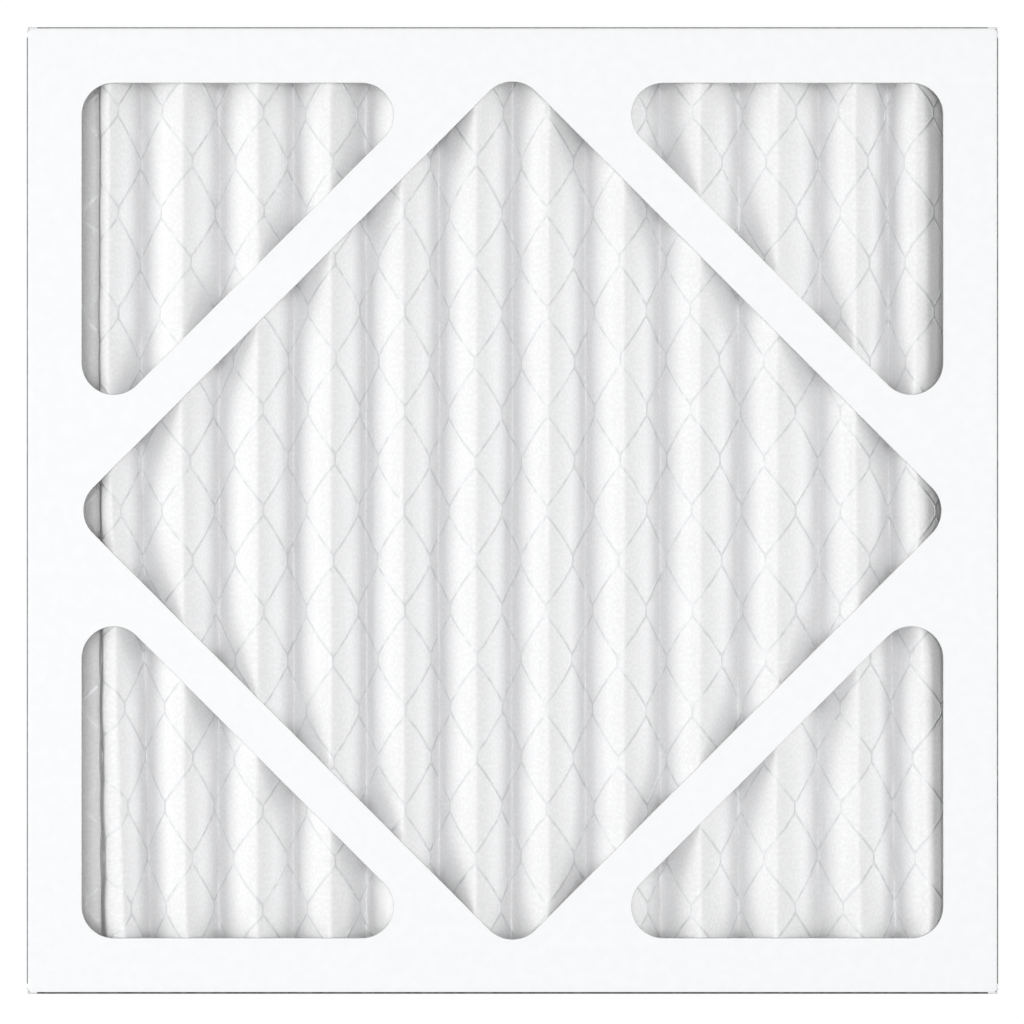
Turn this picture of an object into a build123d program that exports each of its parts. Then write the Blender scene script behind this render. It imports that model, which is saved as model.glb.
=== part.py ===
"""Pleated panel air filter, nominal 12 x 12 x 1 inch, in a two-piece die-cut board frame.

X runs across the pleats, Y along them and +Z up, towards the air-leaving face. The filter
lies on its air-entering face, and the origin is the middle of that face. Millimetres.
"""

import os
from math import atan2, ceil, cos

from build123d import *

# The panel
panel_width = 298.5
panel_length = 297.0
panel_depth = 19.0

# The two trays, die-cut from one board and folded
board = 0.65
fold_radius = 0.9
border = 17.0
window_radius = 9.5
diamond_apothem = 96.4
strap_width = 12.1
tab_length = 24.0
tab_chamfer = 3.0
lap_gap = 0.1
wall_end_gap = 0.3

# The folded pack: filter media, with its support grid bonded on top
media_thickness = 1.2
grid_thickness = 0.4
pack_length = 290.0
pack_shift = 0.9
pleat_pitch = 23.0
pleat_rise = 16.02
regular_crests = 10
end_crest_step = 20.0
end_crest_drop = 0.7
end_fold_step = 6.3
crest_radius = 0.8
valley_radius = 1.5
tail_gap = 1.5

# Expanded metal of the grid: its diamonds seen from above, once it is folded
diamond_long = 30.7
diamonds_per_pleat = 11 / 7
bond_length = 1.4
bond_width = 0.5
selvage = 2.0

# Adhesive between the pack and the trays
end_bead_height = 17.2
side_bead_width = 6.0
side_bead_height = 4.0

# The front tray's walls stand outside; the rear tray nests inside them and their tabs
wall_height = panel_depth
nested_wall_height = panel_depth - fold_radius
wall_and_tab = 2 * board + lap_gap
rear_width = panel_width - 2 * board
rear_length = panel_length - 2 * wall_and_tab
inside_width = rear_width - 2 * board
inside_length = rear_length - 2 * board

window_width = panel_width - 2 * border
window_length = panel_length - 2 * border

# The five windows, the same in both trays: a diamond and a triangle in each corner
with BuildSketch() as windows:
    Rectangle(window_width, window_length)
    strap_side = 2 * (diamond_apothem + strap_width)
    Rectangle(strap_side, strap_side, rotation=45, mode=Mode.SUBTRACT)
    Rectangle(2 * diamond_apothem, 2 * diamond_apothem, rotation=45)
    fillet(windows.vertices(), window_radius)


def folded_wall(half_span, height):
    """The section of a board sheet that turns down at half_span from the middle, on both sides."""
    middle = half_span - board / 2
    with BuildSketch() as section:
        with BuildLine():
            FilletPolyline(
                (half_span - fold_radius, -board / 2),
                (middle, -board / 2),
                (middle, -height),
                radius=fold_radius - board / 2,
            )
        trace(line_width=board)
        mirror(about=Plane.YZ)
    return section.sketch


def folded_tray(width, length, height):
    """One die-cut sheet folded to a tray: its face's outside at Z = 0, its walls hanging down."""
    tab_middle = length / 2 - board - lap_gap - board / 2
    tab_bend = tab_middle + board / 2 - fold_radius
    tab_end = width / 2 - tab_length
    tab_top = fold_radius + lap_gap

    with BuildPart() as tray:
        with BuildSketch():
            Rectangle(width - 2 * fold_radius, length - 2 * fold_radius)
            add(windows.sketch, mode=Mode.SUBTRACT)
        extrude(amount=-board)

        # The walls along the top and bottom run the full width
        with BuildSketch(Plane.YZ.offset(wall_end_gap - width / 2)):
            add(folded_wall(length / 2, height))
        extrude(amount=width - 2 * wall_end_gap)

        # The side walls end where their corner tabs turn in behind those two
        with BuildSketch(Plane.XZ.offset(-tab_bend)):
            add(folded_wall(width / 2, height))
        extrude(amount=2 * tab_bend)

        with BuildSketch(Plane.XY.offset(-tab_top)):
            with BuildLine():
                FilletPolyline(
                    (width / 2 - board / 2, tab_bend - board),
                    (width / 2 - board / 2, tab_middle),
                    (tab_end, tab_middle),
                    radius=fold_radius - board / 2,
                )
            trace(line_width=board)
            mirror(about=Plane.YZ)
            mirror(about=Plane.XZ)
        extrude(amount=tab_top - height)

        tab_ends = tray.faces().filter_by(Axis.X).group_by(lambda f: abs(abs(f.center().X) - tab_end))[0]
        chamfer(tab_ends.edges().filter_by(Axis.Y), tab_chamfer)
    return tray.part


with BuildPart() as front_frame:
    with Locations((0, 0, panel_depth)):
        add(folded_tray(panel_width, panel_length, wall_height))

with BuildPart() as rear_frame:
    add(mirror(folded_tray(rear_width, rear_length, nested_wall_height), about=Plane.XY))

# The line along which media and grid meet, across the pleats from tail to tail
flank_slope = atan2(pleat_rise, pleat_pitch / 2)
crest_z = panel_depth - board - grid_thickness / cos(flank_slope)
valley_z = crest_z - pleat_rise
tail_z = board + media_thickness
end_crest = (regular_crests - 1) / 2 * pleat_pitch + end_crest_step
end_fold = end_crest + end_fold_step
tail_end = inside_width / 2 - tail_gap

creases = [(-tail_end, tail_z), (pack_shift - end_fold, tail_z)]
creases.append((pack_shift - end_crest, crest_z - end_crest_drop))
for crease in range(2 * regular_crests + 1):
    x = pack_shift + (crease - regular_crests) * pleat_pitch / 2
    creases.append((x, crest_z if crease % 2 else valley_z))
creases.append((pack_shift + end_crest, crest_z - end_crest_drop))
creases += [(pack_shift + end_fold, tail_z), (tail_end, tail_z)]


def parallel_creases(distance):
    """The crease line moved to one side by a distance, which is upwards if positive."""
    line = [Vector(x, z) for x, z in creases]
    runs = [(after - before).normalized() for before, after in zip(line, line[1:])]
    normals = [Vector(-run.Y, run.X) for run in runs]
    moved = []
    for point, left, right in zip(line, normals[:1] + normals, normals + normals[-1:]):
        moved.append(point + (left + right) * (distance / (1 + left.dot(right))))
    return moved


def pack_section(lower, upper):
    """The section across the pleats of a sheet between two distances from the crease line."""
    with BuildSketch() as section:
        with BuildLine():
            Polyline(*parallel_creases(lower), *reversed(parallel_creases(upper)), close=True)
        make_face()
    return section.sketch


with BuildPart() as pleated_media:
    with BuildSketch(Plane.XZ.offset(-pack_length / 2)) as media_section:
        add(pack_section(-media_thickness, 0))
        top_corners = media_section.vertices().filter_by(lambda corner: corner.Y > crest_z - crest_radius)
        fillet(top_corners, crest_radius)
        low_corners = media_section.vertices().filter_by(lambda corner: corner.Y < board / 2)
        fillet(low_corners, valley_radius)
    extrude(amount=pack_length)

# The windows of the grid, cut from above through the folded sheet
plan_short = pleat_pitch / diamonds_per_pleat
middle_crest = pack_shift - pleat_pitch / 2
columns = ceil(panel_width / plan_short)
rows = ceil(panel_length / diamond_long)
with BuildPart() as support_grid:
    with BuildSketch(Plane.XZ.offset(-pack_length / 2)):
        add(pack_section(0, grid_thickness))
    extrude(amount=pack_length)
    with BuildSketch(Plane.XY.offset(panel_depth)) as diamonds:
        for column in range(-columns, columns + 1):
            for row in range(-rows, rows + 1):
                x = middle_crest + column * plan_short / 2
                y = (row + column % 2 / 2) * diamond_long
                inside_x = abs(x) + plan_short / 2 < tail_end - selvage
                if inside_x and abs(y) + diamond_long / 2 < pack_length / 2 - selvage:
                    with Locations((x, y)):
                        Polygon(
                            (plan_short / 2 - bond_width / 2, 0),
                            (0, diamond_long / 2 - bond_length / 2),
                            (bond_width / 2 - plan_short / 2, 0),
                            (0, bond_length / 2 - diamond_long / 2),
                        )
    extrude(amount=-panel_depth, mode=Mode.SUBTRACT)

# Adhesive that seals the pleats' ends to the top and bottom walls, behind the rear tray's tabs
tab_face = inside_length / 2 - board - lap_gap
between_tabs = rear_width / 2 - tab_length
with BuildPart() as adhesive_top:
    with BuildSketch(Plane.XY.offset(fold_radius)):
        with BuildLine():
            Polyline(
                (0, pack_length / 2),
                (tail_end, pack_length / 2),
                (tail_end, tab_face),
                (between_tabs, tab_face),
                (between_tabs, inside_length / 2),
                (0, inside_length / 2),
                close=True,
            )
        make_face()
        mirror(about=Plane.YZ)
    extrude(amount=end_bead_height)

with BuildPart() as adhesive_bottom:
    add(mirror(adhesive_top.part, about=Plane.XZ))

# Adhesive along the side walls, over the flat tails of the pack
wall_face = inside_width / 2
tail_top = tail_z + grid_thickness
with BuildPart() as adhesive_right:
    with BuildSketch(Plane.XZ.offset(-pack_length / 2)):
        with BuildLine():
            Polyline(
                (wall_face, fold_radius),
                (wall_face, fold_radius + side_bead_height),
                (wall_face - side_bead_width, tail_top),
                (tail_end, tail_top),
                (tail_end, board),
                (wall_face - (fold_radius - board), board),
                close=True,
            )
        make_face()
    extrude(amount=pack_length)

with BuildPart() as adhesive_left:
    add(mirror(adhesive_right.part, about=Plane.YZ))

pieces = {
    "front_frame": front_frame,
    "rear_frame": rear_frame,
    "pleated_media": pleated_media,
    "support_grid": support_grid,
    "adhesive_top": adhesive_top,
    "adhesive_bottom": adhesive_bottom,
    "adhesive_left": adhesive_left,
    "adhesive_right": adhesive_right,
}
os.makedirs("parts", exist_ok=True)
for node, piece in pieces.items():
    piece.part.label = node
    export_step(piece.part, f"parts/{node}.step")
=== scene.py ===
import math

import bpy
import numpy as np
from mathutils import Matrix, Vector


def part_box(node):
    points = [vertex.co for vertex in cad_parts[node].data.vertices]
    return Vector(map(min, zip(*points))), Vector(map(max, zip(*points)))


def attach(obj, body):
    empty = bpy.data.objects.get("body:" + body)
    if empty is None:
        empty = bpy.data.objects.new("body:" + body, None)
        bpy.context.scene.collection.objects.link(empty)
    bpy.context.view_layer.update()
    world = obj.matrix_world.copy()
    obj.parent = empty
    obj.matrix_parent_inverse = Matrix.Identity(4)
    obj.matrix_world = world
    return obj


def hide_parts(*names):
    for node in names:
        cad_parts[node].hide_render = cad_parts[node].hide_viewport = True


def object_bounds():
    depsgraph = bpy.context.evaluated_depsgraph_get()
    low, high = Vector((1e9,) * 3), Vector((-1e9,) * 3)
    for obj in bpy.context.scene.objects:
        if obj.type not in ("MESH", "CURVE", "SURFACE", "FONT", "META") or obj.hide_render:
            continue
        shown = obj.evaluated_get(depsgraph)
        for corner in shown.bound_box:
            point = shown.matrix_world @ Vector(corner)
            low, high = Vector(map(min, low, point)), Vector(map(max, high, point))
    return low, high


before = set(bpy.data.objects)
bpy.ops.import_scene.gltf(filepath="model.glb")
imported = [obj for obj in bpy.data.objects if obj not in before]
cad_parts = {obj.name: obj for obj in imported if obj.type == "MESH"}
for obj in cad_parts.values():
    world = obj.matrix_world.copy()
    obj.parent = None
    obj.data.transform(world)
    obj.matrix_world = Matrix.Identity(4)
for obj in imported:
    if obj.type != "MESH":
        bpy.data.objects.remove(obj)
cad_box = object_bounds()

# ---------------------------------------------------------------------------------------------
# Rear tray: one die-cut sheet of clay-coated board, folded down on its four sides. Its walls nest
# inside those of the front tray, and the pleats lie on its face.
# ---------------------------------------------------------------------------------------------
mm = 0.001
board = 0.65 * mm
fold_radius = 0.9 * mm
fold_steps = 5
side_border = 17 * mm
end_border = 17.2 * mm
window_radius = 9.8 * mm
diamond_apothem = 96.0 * mm
strap_width = 12.9 * mm
tab_length = 24 * mm
tab_chamfer = 3 * mm
lap_gap = 0.1 * mm
wall_end_gap = 0.3 * mm
shoulder = 0.12 * mm
crush_width = 1.5 * mm
sides = ((0, 1), (0, -1), (1, 0), (-1, 0))
corners = ((1, 1), (1, -1), (-1, 1), (-1, -1))
# How far past each score line the painted fold shade begins (top, bottom, right, left), and where it
# stops short of the corners
fold_shade_starts = (0.42 * mm, 0.2 * mm, 0.5 * mm, 0.5 * mm)
unshaded_corner = 3.2 * mm


def speckled(name, ground, speck, specks_per_metre, roughness, grain, coordinates="Object"):
    """A matt material: a ground colour with soft specks over it, and a grain in relief."""
    made = bpy.data.materials.new(name)
    made.use_nodes = True
    nodes, links = made.node_tree.nodes, made.node_tree.links
    shader = nodes["Principled BSDF"]
    shader.inputs["Roughness"].default_value = roughness
    place = nodes.new("ShaderNodeTexCoord")
    noise = nodes.new("ShaderNodeTexNoise")
    noise.inputs["Scale"].default_value = specks_per_metre
    noise.inputs["Detail"].default_value = 5
    spread = nodes.new("ShaderNodeMapRange")
    spread.inputs["From Min"].default_value = 0.37
    spread.inputs["From Max"].default_value = 0.57
    colour = nodes.new("ShaderNodeMix")
    colour.data_type = "RGBA"
    colour.inputs[6].default_value = (*ground, 1)
    colour.inputs[7].default_value = (*speck, 1)
    relief = nodes.new("ShaderNodeBump")
    relief.inputs["Strength"].default_value = 0.5
    relief.inputs["Distance"].default_value = grain
    links.new(place.outputs[coordinates], noise.inputs["Vector"])
    links.new(noise.outputs["Fac"], spread.inputs["Value"])
    links.new(spread.outputs["Result"], colour.inputs[0])
    links.new(colour.outputs[2], shader.inputs["Base Color"])
    links.new(noise.outputs["Fac"], relief.inputs["Height"])
    links.new(relief.outputs["Normal"], shader.inputs["Normal"])
    return made


coated = speckled("coated_board", (0.930, 0.937, 0.946), (0.915, 0.922, 0.932), 260, 0.55, 0.02 * mm)
core = speckled("board_core", (0.70, 0.69, 0.67), (0.52, 0.50, 0.48), 1500, 0.95, 0.05 * mm)
# Painted shade: a near-black colour laid on the outer folds for the shade of their rounding, not a
# colour of the board
fold_shade_board = speckled("board_fold_shade", (0.12, 0.12, 0.12), (0.04, 0.04, 0.04), 420, 0.85, 0.05 * mm)


def pick(mode, test):
    """Selects the vertices, edges or faces whose every corner passes a test of its place."""
    bpy.ops.mesh.select_mode(type=mode)
    bpy.ops.mesh.select_all(action="DESELECT")
    bpy.ops.object.mode_set(mode="OBJECT")
    mesh = bpy.context.object.data
    parts = {"VERT": mesh.vertices, "EDGE": mesh.edges, "FACE": mesh.polygons}[mode]
    for part in parts:
        its_corners = [part.index] if mode == "VERT" else part.vertices
        part.select = all(test(mesh.vertices[corner].co) for corner in its_corners)
    bpy.ops.object.mode_set(mode="EDIT")


def close(a, b):
    """Whether two lengths are the same to a hundredth of a millimetre."""
    return abs(a - b) < 0.01 * mm


def make_punch(width, length):
    """The five punches of the cutting die: each window is the hull of round pins at its corners."""
    far_x = width / 2 - side_border - window_radius
    far_y = length / 2 - end_border - window_radius
    tip = (diamond_apothem - window_radius) * math.sqrt(2)
    strap = (diamond_apothem + strap_width + window_radius) * math.sqrt(2)
    windows = [[(tip, 0), (0, tip), (-tip, 0), (0, -tip)]]
    for x, y in corners:
        near_x, near_y = strap - far_y, strap - far_x
        windows.append([(x * far_x, y * far_y), (x * near_x, y * far_y), (x * far_x, y * near_y)])
    punches = []
    for pins in windows:
        bpy.ops.object.select_all(action="DESELECT")
        for x, y in pins:
            bpy.ops.mesh.primitive_cylinder_add(
                vertices=80, radius=window_radius, depth=8 * mm, location=(x, y, 0)
            )
            punches.append(bpy.context.object)
        for pin in punches[-len(pins):]:
            pin.select_set(True)
        bpy.ops.object.join()
        punches[-len(pins):] = [bpy.context.object]
        bpy.ops.object.mode_set(mode="EDIT")
        bpy.ops.mesh.select_all(action="SELECT")
        bpy.ops.mesh.convex_hull()
        bpy.ops.object.mode_set(mode="OBJECT")
    for punch in punches:
        punch.select_set(True)
    bpy.ops.object.join()
    bpy.context.object.data.materials.append(core)
    return bpy.context.object


def folded_tray(name, width, length, wall_height, punch):
    """A board sheet scored, folded to a tray and punched: its face up at Z = 0, its walls down."""
    half_width, half_length = width / 2, length / 2
    flat_x, flat_y = half_width - fold_radius, half_length - fold_radius
    tab_bend = half_length - board - lap_gap - fold_radius
    bpy.ops.object.select_all(action="DESELECT")
    bpy.ops.mesh.primitive_plane_add(size=1)
    tray = bpy.context.object
    tray.name = name
    for material in (coated, core, fold_shade_board):
        tray.data.materials.append(material)
    bpy.ops.object.mode_set(mode="EDIT")
    bpy.ops.transform.resize(value=(2 * flat_x, 2 * flat_y, 1), center_override=(0, 0, 0))
    bpy.ops.mesh.inset(thickness=crush_width)

    # Each side turns down about its score line, and then its wall is drawn straight down
    for side in sides:
        score = (side[0] * flat_x, side[1] * flat_y)
        reach = abs(score[0] + score[1])
        pick("EDGE", lambda v: close(v.x * side[0] + v.y * side[1], reach) and close(v.z, 0))
        bpy.ops.mesh.spin(
            steps=fold_steps,
            angle=math.pi / 2,
            center=(*score, -fold_radius),
            axis=(side[1], -side[0], 0),
        )
        drop = {"value": (0, 0, fold_radius - wall_height)}
        bpy.ops.mesh.extrude_region_move(TRANSFORM_OT_translate=drop)

    # The side walls stop short of the corners, and the other two run on past them
    pick("VERT", lambda v: abs(v.x) > flat_x + board / 2)
    bpy.ops.transform.resize(value=(1, tab_bend / flat_y, 1), center_override=(0, 0, 0))
    pick("VERT", lambda v: abs(v.y) > flat_y + board / 2)
    stretch = (half_width - wall_end_gap) / flat_x
    bpy.ops.transform.resize(value=(stretch, 1, 1), center_override=(0, 0, 0))

    # A tab on each end of a side wall turns in behind the wall next to it
    for x, y in corners:
        pick(
            "EDGE", lambda v: close(v.x, x * half_width) and close(v.y, y * tab_bend) and v.z < -board
        )
        pivot = (x * flat_x, y * tab_bend, 0)
        bpy.ops.mesh.spin(steps=fold_steps, angle=math.pi / 2, center=pivot, axis=(0, 0, -x * y))
        reach = {"value": (-x * (tab_length - fold_radius), 0, 0)}
        bpy.ops.mesh.extrude_region_move(TRANSFORM_OT_translate=reach)
    pick("VERT", lambda v: close(abs(v.x), half_width - tab_length))
    bpy.ops.mesh.bevel(offset=tab_chamfer, affect="VERTICES", segments=1)

    # Each fold is painted with dark shade from just past its score to its outer corner, but not at its
    # ends: painted shade of the fold turning away from the light, widest on the bottom fold
    shade_end_x, shade_end_y = half_width - unshaded_corner, half_length - unshaded_corner
    for place, normal in (
        ((shade_end_x, 0, 0), (1, 0, 0)),
        ((-shade_end_x, 0, 0), (1, 0, 0)),
        ((0, shade_end_y, 0), (0, 1, 0)),
        ((0, -shade_end_y, 0), (0, 1, 0)),
    ):
        bpy.ops.mesh.select_all(action="SELECT")
        bpy.ops.mesh.bisect(plane_co=place, plane_no=normal)
    bpy.ops.object.mode_set(mode="OBJECT")
    for face in tray.data.polygons:
        x, y, z = face.center
        shaded_fold = any(
            x * side[0] + y * side[1] > abs(side[0]) * flat_x + abs(side[1]) * flat_y + start
            for side, start in zip(sides, fold_shade_starts)
        )
        at_corner = abs(x) > shade_end_x and abs(y) > shade_end_y
        # Faces on the fold's rounding get the painted shade
        face.material_index = 2 if shaded_fold and z > -fold_radius and not at_corner else 0

    # The sheet gets its thickness, and the die cuts its windows
    stock = {"thickness": board, "offset": -1, "use_even_offset": True, "material_offset_rim": 1}
    cut = {"operation": "DIFFERENCE", "object": punch, "material_mode": "TRANSFER"}
    for kind, settings in (("SOLIDIFY", stock), ("BOOLEAN", cut)):
        modifier = tray.modifiers.new(kind, kind)
        for setting, value in settings.items():
            setattr(modifier, setting, value)
        bpy.ops.object.modifier_apply(modifier=kind)

    # The die leaves a rolled shoulder round each window
    bpy.ops.object.mode_set(mode="EDIT")
    bpy.ops.mesh.select_mode(type="EDGE")
    bpy.ops.mesh.select_all(action="DESELECT")
    bpy.ops.mesh.edges_select_sharp(sharpness=math.radians(60))
    bpy.ops.object.mode_set(mode="OBJECT")
    for edge in tray.data.edges:
        corner = tray.data.vertices[edge.vertices[0]].co
        inside = max(abs(corner.x) - half_width, abs(corner.y) - half_length) < -side_border / 2
        edge.select = edge.select and inside and corner.z > -2 * board
    bpy.ops.object.mode_set(mode="EDIT")
    bpy.ops.mesh.bevel(offset=shoulder, segments=2, affect="EDGES", material=1)
    bpy.ops.object.mode_set(mode="OBJECT")
    bpy.ops.object.shade_smooth_by_angle(angle=math.radians(20))
    return tray


def size_of(node):
    """The width and length of one CAD piece."""
    low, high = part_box(node)
    return high.x - low.x, high.y - low.y


rear_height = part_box("rear_frame")[1].z
punch = make_punch(*size_of("front_frame"))
rear_tray = folded_tray("rear_tray", *size_of("rear_frame"), rear_height, punch)
bpy.ops.object.mode_set(mode="EDIT")
bpy.ops.mesh.select_all(action="SELECT")
bpy.ops.transform.rotate(value=math.pi, orient_axis="X", center_override=(0, 0, 0))
bpy.ops.object.mode_set(mode="OBJECT")
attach(rear_tray, "root")
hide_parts("rear_frame")

# ---------------------------------------------------------------------------------------------
# Filter media: one sheet of white non-woven fibre, laminated to its wire grid and then creased
# and gathered into twelve pleats at listed spacings. Its end folds run out flat onto the rear tray.
# ---------------------------------------------------------------------------------------------
media_low, media_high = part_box("pleated_media")
media_thickness = 1.2 * mm
wire_thickness = 0.24 * mm
crest_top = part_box("support_grid")[1].z - wire_thickness
valley_top = media_low.z + media_thickness
left_bulge = 0.15
right_bulge = 0.14
first_bulge = 0.04
last_bulge = 0.22
crest_rounding = 2.1 * mm
valley_rounding = 0.1 * mm
first_crest = -124.0 * mm
crest_gaps = [22.5, 23.0, 22.5, 22.4, 22.4, 22.1, 23.3, 23.4, 23.6, 24.0, 18.1]
valley_leads = [-2.6, -1.3, -0.9, -0.7, -0.4, 0, 0, 0, 0.9, 2.0, 2.5]
end_fold_left = -128.7 * mm
end_fold_right = 136.5 * mm
end_crest_drop = 0.8 * mm
first_shoulder_width = 3.0 * mm
first_shoulder_drop = 1.8 * mm
first_leans = [1.4, 4.0, 2.1, 1.1]
last_leans = [1.4, 2.0, 3.9, 2.4]
lean_start = 30 * mm
lean_full = -112 * mm
crease_wander = 0.22 * mm
quilt_depth = 0.5 * mm
quilt_softness = 0.02
columns_per_metre = 750
column_crowding = 0.07
row_count = 120

crests = first_crest + mm * np.concatenate([[0], np.cumsum(crest_gaps)])
valleys = (crests[1:] + crests[:-1]) / 2 + mm * np.array(valley_leads)

# The sheet's upper face across the pleats, as listed creases joined by flanks that bulge upwards
creases = [(media_low.x, valley_top), (end_fold_left, valley_top)]
creases.append((first_crest - first_shoulder_width, crest_top - end_crest_drop - first_shoulder_drop))
for i, crest in enumerate(crests):
    creases.append((crest, crest_top - (end_crest_drop if i in (0, len(crests) - 1) else 0)))
    if i < len(valleys):
        creases.append((valleys[i], valley_top))
creases += [(end_fold_right, valley_top), (media_high.x, valley_top)]
crease_x, crease_z = np.array(creases).T

# How far the end pleats' creases stray to the right towards the bottom, in millimetres
leans = np.zeros(len(creases))
leans[2:6] = first_leans
leans[-5:-1] = last_leans

across = np.linspace(media_low.x, media_high.x, 6000)
turn = np.interp(across, crease_x, np.arange(len(creases)))
flank = np.minimum(turn.astype(int), len(creases) - 2)
flank_rise = np.abs(np.diff(crease_z))[flank]
bulge = np.where(np.diff(crease_z)[flank] > 0, left_bulge, right_bulge)
bulge[flank <= 2] = first_bulge
bulge[flank == len(creases) - 3] = last_bulge
height = np.interp(across, crease_x, crease_z) + 4 * bulge * flank_rise * (turn % 1) * (1 - turn % 1)
along = np.concatenate([[0], np.cumsum(np.hypot(np.diff(across), np.diff(height)))])

# Every fold is rounded by averaging the line over a run of the sheet, longer over the crests
step = 0.05 * mm
even = np.arange(0, along[-1], step)


def rounded(values, run):
    """The values averaged over a run of the sheet."""
    count = 2 * int(run / step / 2) + 1
    return np.convolve(np.pad(values, count // 2, mode="edge"), np.ones(count) / count, "valid")


across = np.interp(even, along, across)
height = np.interp(even, along, height)
crest_share = np.clip((height - valley_top) / (crest_top - valley_top), 0, 1)
valley_share = 1 - crest_share
across = crest_share * rounded(across, crest_rounding) + valley_share * rounded(across, valley_rounding)
height = crest_share * rounded(height, crest_rounding) + valley_share * rounded(height, valley_rounding)
height = valley_top + (height - valley_top) * (crest_top - valley_top) / (height.max() - valley_top)
along = np.concatenate([[0], np.cumsum(np.hypot(np.diff(across), np.diff(height)))])
headings = np.arctan2(np.gradient(height), np.gradient(across))
sheet_width = along[-1]
sheet_length = media_high.y - media_low.y


def folded(s, y, lift):
    """Where a point of the flat laminate goes once it is pleated: s across, y along, lift above."""
    heading = np.interp(s, along, headings)
    x = np.interp(s, along, across) - lift * np.sin(heading)
    z = np.interp(s, along, height) + lift * np.cos(heading)
    wave = np.sin(y / (31 * mm) + x / (19 * mm)) * np.cos(y / (47 * mm) - x / (57 * mm))
    lean_share = np.maximum(0, (lean_start - y) / (lean_start - lean_full))
    lean = mm * np.interp(x, crease_x, leans) * lean_share
    return np.stack([x + crease_wander * wave + lean, y, z], axis=-1)


# The wires' diamonds on the flat laminate: a column of bonds lies on the sixth crest
diamond_long = 30.7 * mm
diamonds_per_pleat = 1.54
crest_along = np.interp(crests, across, along)
diamond_short = (crest_along[9] - crest_along[2]) / (7 * diamonds_per_pleat)
bond_column = crest_along[5]


def puff(s, y):
    """How far the media stands up between the wires: 1 in the middle of a diamond, 0 at a wire."""
    across, up = (s - bond_column) / diamond_short, y / diamond_long
    swell = np.cos(math.pi * (across + up)) * np.cos(math.pi * (across - up))
    return (swell**2 + quilt_softness) ** 0.25


# The sheet's columns of corners: one on each crease, and closer together near it
knots = []
fold_marks = np.interp(crease_x, across, along)
for a, b in zip(fold_marks, fold_marks[1:]):
    share = np.linspace(0, 1, max(5, int(columns_per_metre * (b - a)) + 1))
    knots.append(a + (b - a) * (share - column_crowding * np.sin(2 * math.pi * share)))
columns = np.unique(np.concatenate(knots).round(7))

bpy.ops.object.select_all(action="DESELECT")
bpy.ops.mesh.primitive_grid_add(x_subdivisions=len(columns) - 1, y_subdivisions=row_count, size=1)
media = bpy.context.object
media.name = "media_sheet"
flat = np.zeros(len(media.data.vertices) * 3)
media.data.vertices.foreach_get("co", flat)
flat = flat.reshape(-1, 3)
s = np.interp(flat[:, 0] + 0.5, np.linspace(0, 1, len(columns)), columns)
y = flat[:, 1] * sheet_length + (media_low.y + media_high.y) / 2
media.data.vertices.foreach_set("co", folded(s, y, quilt_depth * (puff(s, y) - 1)).ravel())
uv = np.zeros(len(media.data.loops) * 2)
media.data.uv_layers[0].data.foreach_get("uv", uv)
uv = uv.reshape(-1, 2)
uv[:, 0] = np.interp(uv[:, 0], np.linspace(0, 1, len(columns)), columns)
uv[:, 1] = uv[:, 1] * sheet_length
media.data.uv_layers[0].data.foreach_set("uv", uv.ravel())
media.data.update()
bpy.ops.object.shade_smooth_by_angle(angle=math.radians(50))
solidify = media.modifiers.new("thickness", "SOLIDIFY")
solidify.thickness = media_thickness
solidify.offset = -1
bpy.ops.object.modifier_apply(modifier="thickness")


fibre = speckled(
    "white_fibre", (0.955, 0.955, 0.960), (0.895, 0.895, 0.90), 900, 0.95, 0.15 * mm, coordinates="UV"
)
media.data.materials.append(fibre)
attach(media, "root")
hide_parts("pleated_media")

# ---------------------------------------------------------------------------------------------
# Support grid: galvanised steel sheet, slit and stretched into diamonds, glued to the media and
# folded with it. Neighbouring diamonds share a short bond that is two strands wide.
# ---------------------------------------------------------------------------------------------
strand_width = 0.7 * mm
bond_length = 3.0 * mm
strand_wander = 0.7 * mm
wire_seat = -0.18 * mm
side_press = 0.15 * mm
strand_cuts = 9
edge_margin = 0.5 * mm

bpy.ops.object.select_all(action="DESELECT")
bpy.ops.mesh.primitive_circle_add(vertices=6, fill_type="NGON")
grid = bpy.context.object
grid.name = "wire_grid"
half_short, half_long, half_bond = diamond_short / 2, diamond_long / 2, bond_length / 2
outline = [
    (0, half_long - half_bond),
    (half_short, half_bond),
    (half_short, -half_bond),
    (0, half_bond - half_long),
    (-half_short, -half_bond),
    (-half_short, half_bond),
]
by_angle = sorted(grid.data.vertices, key=lambda v: math.atan2(v.co.x, v.co.y))
outline.sort(key=lambda p: math.atan2(p[0], p[1]))
for vertex, place in zip(by_angle, outline):
    vertex.co = (*place, 0)
bpy.ops.object.mode_set(mode="EDIT")
bpy.ops.mesh.select_all(action="SELECT")
bpy.ops.mesh.inset(thickness=strand_width / 2)
bpy.ops.mesh.delete(type="FACE")
bpy.ops.mesh.select_mode(type="EDGE")
bpy.ops.mesh.select_all(action="DESELECT")
bpy.ops.object.mode_set(mode="OBJECT")
for edge in grid.data.edges:
    a, b = (grid.data.vertices[v].co for v in edge.vertices)
    edge.select = (a - b).length > bond_length * 1.5
bpy.ops.object.mode_set(mode="EDIT")
bpy.ops.mesh.subdivide(number_cuts=strand_cuts)
bpy.ops.object.mode_set(mode="OBJECT")


def repeat(name, count, step):
    """Copies the active mesh in a row, as a tool that is stepped along a sheet does."""
    row = bpy.context.object.modifiers.new(name, "ARRAY")
    row.count = count
    row.use_relative_offset = False
    row.use_constant_offset = True
    row.constant_offset_displace = step
    row.use_merge_vertices = True
    row.merge_threshold = 0.02 * mm
    bpy.ops.object.modifier_apply(modifier=name)


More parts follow.
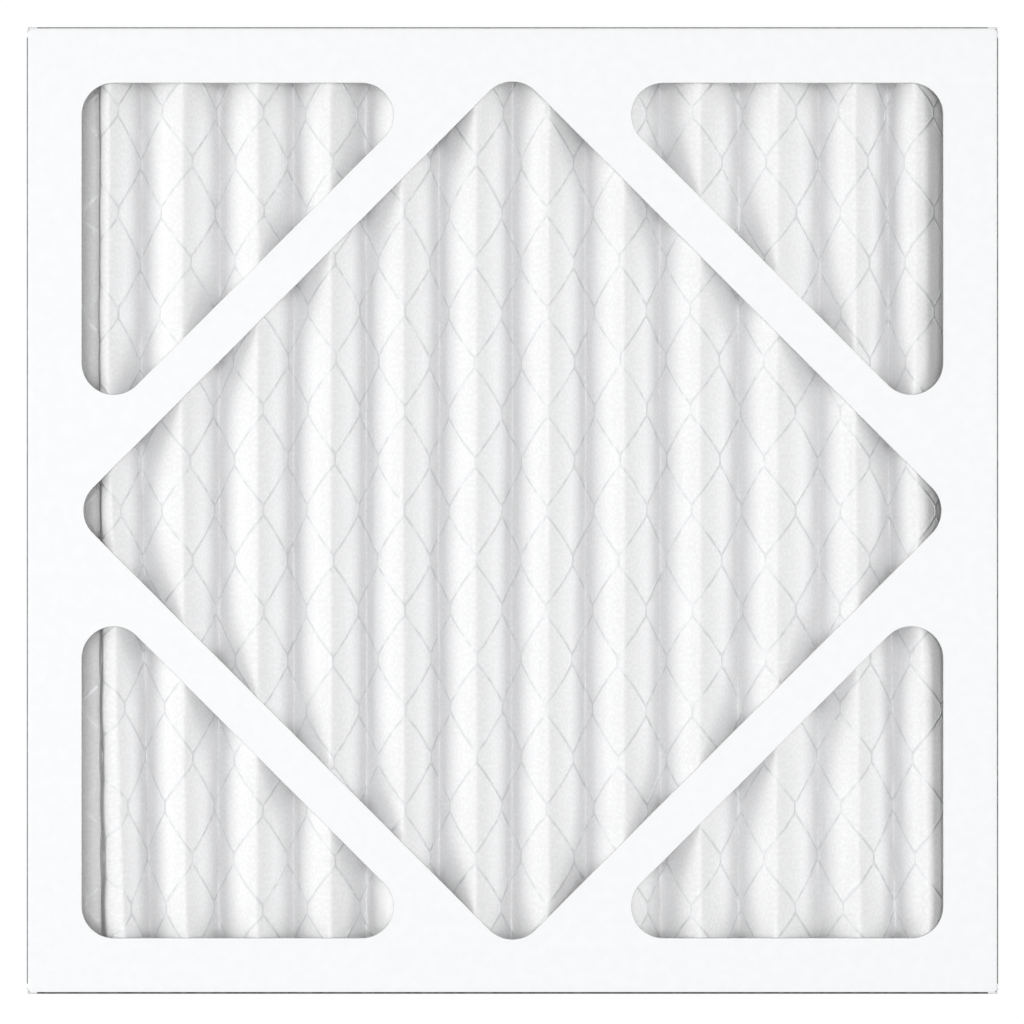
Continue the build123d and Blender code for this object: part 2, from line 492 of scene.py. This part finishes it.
across_count = math.ceil(sheet_width / diamond_short) + 2
along_count = math.ceil(sheet_length / diamond_long) + 2
repeat("across", across_count, (diamond_short, 0, 0))
repeat("along", along_count, (0, diamond_long, 0))
bpy.ops.object.mode_set(mode="EDIT")
bpy.ops.mesh.select_all(action="SELECT")
bpy.ops.mesh.duplicate()
bpy.ops.transform.translate(value=(half_short, half_long, 0))
bpy.ops.mesh.select_all(action="SELECT")
bpy.ops.mesh.remove_doubles(threshold=0.02 * mm)
bpy.ops.object.mode_set(mode="OBJECT")

flat = np.zeros(len(grid.data.vertices) * 3)
grid.data.vertices.foreach_get("co", flat)
flat = flat.reshape(-1, 3)
s = flat[:, 0] + bond_column % diamond_short - diamond_short
y = flat[:, 1] - diamond_long * (along_count // 2)
s += strand_wander * np.sin(s / (23 * mm) + 1) * np.sin(y / (29 * mm))
y += strand_wander * np.sin(s / (31 * mm)) * np.cos(y / (37 * mm) + 2)
flat[:, 0], flat[:, 1] = s, y
grid.data.vertices.foreach_set("co", flat.ravel())

# It is trimmed to the sheet, and every strand gets a corner where a fold will cross it
bpy.ops.object.mode_set(mode="EDIT")
for place, normal in (
    ((edge_margin, 0, 0), (-1, 0, 0)),
    ((sheet_width - edge_margin, 0, 0), (1, 0, 0)),
    ((0, media_low.y + edge_margin, 0), (0, -1, 0)),
    ((0, media_high.y - edge_margin, 0), (0, 1, 0)),
):
    bpy.ops.mesh.select_all(action="SELECT")
    bpy.ops.mesh.bisect(plane_co=place, plane_no=normal, clear_outer=True)
for fold_mark in fold_marks[1:-1]:
    bpy.ops.mesh.select_all(action="SELECT")
    bpy.ops.mesh.bisect(plane_co=(fold_mark, 0, 0), plane_no=(1, 0, 0))
bpy.ops.object.mode_set(mode="OBJECT")
solidify = grid.modifiers.new("sheet", "SOLIDIFY")
solidify.thickness = wire_thickness
solidify.offset = 0
bpy.ops.object.modifier_apply(modifier="sheet")
flat = np.zeros(len(grid.data.vertices) * 3)
grid.data.vertices.foreach_get("co", flat)
flat = flat.reshape(-1, 3)
s, y, lift = flat.T
seat = wire_seat - side_press * np.clip(np.sin(np.interp(s, along, headings)), 0, 1)
grid.data.vertices.foreach_set("co", folded(s, y, lift + seat).ravel())
grid.data.update()

steel = speckled("galvanised_steel", (0.92, 0.925, 0.93), (0.84, 0.845, 0.85), 300, 0.7, 0.02 * mm)
steel.node_tree.nodes["Principled BSDF"].inputs["Metallic"].default_value = 1
grid.data.materials.append(steel)
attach(grid, "root")
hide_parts("support_grid")

# ---------------------------------------------------------------------------------------------
# Adhesive: four beads of hot-melt, still plain as the CAD has them. Two seal the pleats' ends to
# the top and bottom walls, and two hold the flat tails of the pack down along the side walls.
# ---------------------------------------------------------------------------------------------
hot_melt = speckled("hot_melt", (0.83, 0.81, 0.74), (0.76, 0.73, 0.65), 180, 0.35, 0.2 * mm)
hot_melt.node_tree.nodes["Principled BSDF"].inputs["Subsurface Weight"].default_value = 0.3
for edge_name in ("top", "bottom", "left", "right"):
    for material_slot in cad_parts["adhesive_" + edge_name].material_slots:
        material_slot.material = hot_melt

# ---------------------------------------------------------------------------------------------
# Front tray: the second die-cut board sheet, a little larger than the rear one. It is pressed
# down over the pack until its walls slide outside the rear tray's, and its straps hold the crests.
# ---------------------------------------------------------------------------------------------
front_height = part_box("front_frame")[1].z
front_tray = folded_tray("front_tray", *size_of("front_frame"), front_height, punch)
bpy.ops.object.mode_set(mode="EDIT")
bpy.ops.mesh.select_all(action="SELECT")
bpy.ops.transform.translate(value=(0, 0, front_height))
bpy.ops.object.mode_set(mode="OBJECT")
bpy.data.objects.remove(punch)
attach(front_tray, "root")
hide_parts("front_frame")

# ---------------------------------------------------------------------------------------------
# Studio: white paper to lie on, which glows for the camera alone and keeps the filter's shadow. A
# soft box hangs overhead, and one stands low down on each side of the pleats, the left the brighter.
# ---------------------------------------------------------------------------------------------
floor_glow = 0.90
floor_seen = (0.1, 0.1, 0.1, 1)
view_distance = 1.3
view_offset = (-0.15 * mm, -0.45 * mm)
pixel_size = 0.3071 * mm
pixels_wide = 1024

bpy.ops.object.select_all(action="DESELECT")
bpy.ops.mesh.primitive_plane_add(size=6, location=(0, 0, 0))
floor = bpy.context.object
floor.name = "floor"
paper = speckled("white_paper", (0.71, 0.71, 0.71), (0.69, 0.69, 0.69), 40, 0.9, 0.02 * mm)
nodes, links = paper.node_tree.nodes, paper.node_tree.links
shader = nodes["Principled BSDF"]
seen = nodes.new("ShaderNodeLightPath")
lit = nodes.new("ShaderNodeMath")
lit.operation = "MULTIPLY"
lit.inputs[1].default_value = floor_glow
links.new(seen.outputs["Is Camera Ray"], lit.inputs[0])
shader.inputs["Emission Color"].default_value = (1, 1, 1, 1)
links.new(lit.outputs[0], shader.inputs["Emission Strength"])
shade = nodes.new("ShaderNodeMix")
shade.data_type = "RGBA"
shade.inputs[7].default_value = floor_seen
links.new(seen.outputs["Is Camera Ray"], shade.inputs[0])
links.new(shader.inputs["Base Color"].links[0].from_socket, shade.inputs[6])
links.new(shade.outputs[2], shader.inputs["Base Color"])
floor.data.materials.append(paper)

world = bpy.data.worlds.new("studio")
bpy.context.scene.world = world
world.use_nodes = True
sky = world.node_tree.nodes["Background"]
sky.inputs["Color"].default_value = (0.97, 0.985, 1, 1)
sky.inputs["Strength"].default_value = 0.08


def add_lamp(name, place, width, depth, power):
    """A soft box that faces the middle of the filter, its width along Y for a lamp at the side."""
    bpy.ops.object.light_add(type="AREA", location=place)
    lamp = bpy.context.object
    lamp.name = name
    lamp.data.shape = "RECTANGLE"
    lamp.data.size = width
    lamp.data.size_y = depth
    lamp.data.energy = power
    lamp.rotation_euler = (math.atan2(abs(place[0]), place[2]), 0, math.copysign(math.pi / 2, place[0]))


add_lamp("overhead_lamp", (0, 0, 2.0), 0.75, 0.75, 21)
add_lamp("left_lamp", (-1.14, 0, 0.62), 2.3, 0.77, 12.2)
add_lamp("right_lamp", (1.04, 0, 0.78), 2.1, 0.6, 7.2)

bpy.ops.object.camera_add(location=(*view_offset, cad_box[1].z + view_distance))
camera = bpy.context.object
camera.data.lens = camera.data.sensor_width * view_distance / (pixel_size * pixels_wide)
bpy.context.scene.camera = camera
bpy.context.scene.view_settings.view_transform = "Standard"
